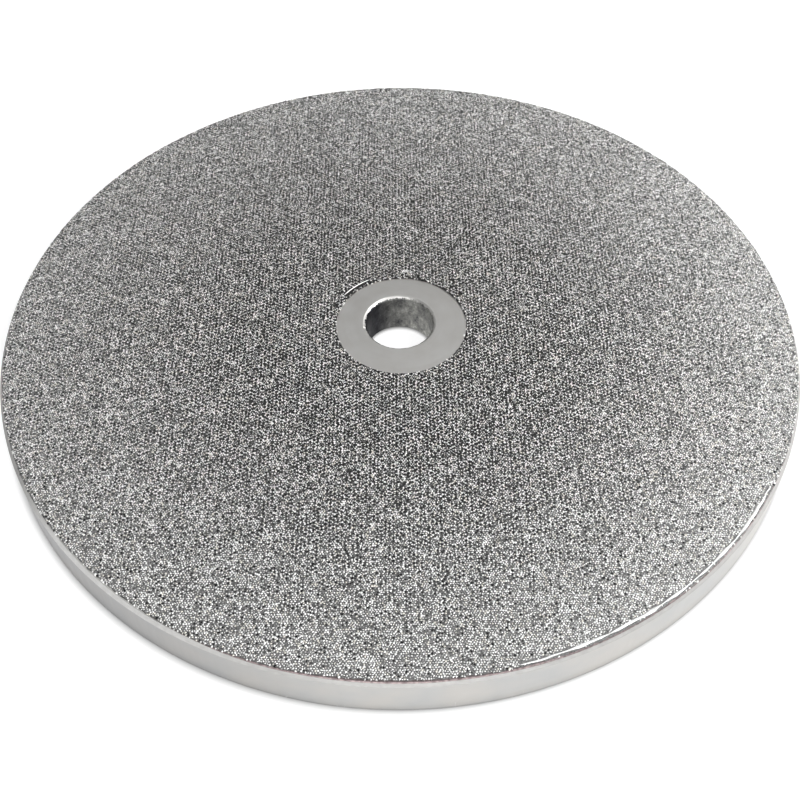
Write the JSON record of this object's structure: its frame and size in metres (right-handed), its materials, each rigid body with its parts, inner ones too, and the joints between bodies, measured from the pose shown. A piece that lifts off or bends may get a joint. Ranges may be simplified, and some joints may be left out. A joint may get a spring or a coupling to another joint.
{
  "type": "diamond grinding wheel",
  "caption": "Flat round aluminium lapidary wheel with a plain spindle bore, a bare ring round it and one layer of diamond grit plated on its top face.",
  "frame": {"origin": "centre of the back face, on the bore's axis", "axes": "+Z along the bore, from the back face to the grit; X and Y across the disc, with the picture taken from -Y"},
  "size_m": [0.15, 0.15, 0.009],
  "materials": {
    "turned_aluminium": "fine turned satin",
    "copper_strike": "dull tarnished",
    "plated_nickel": "rough matt plating",
    "diamond_grit": "coarse sparkling crystals"
  },
  "bodies": {
    "root": {"wheel_blank": "turned_aluminium", "copper_strike": "copper_strike", "nickel_bond": "plated_nickel", "diamond_grit": "diamond_grit"}
  },
  "joints": []
}
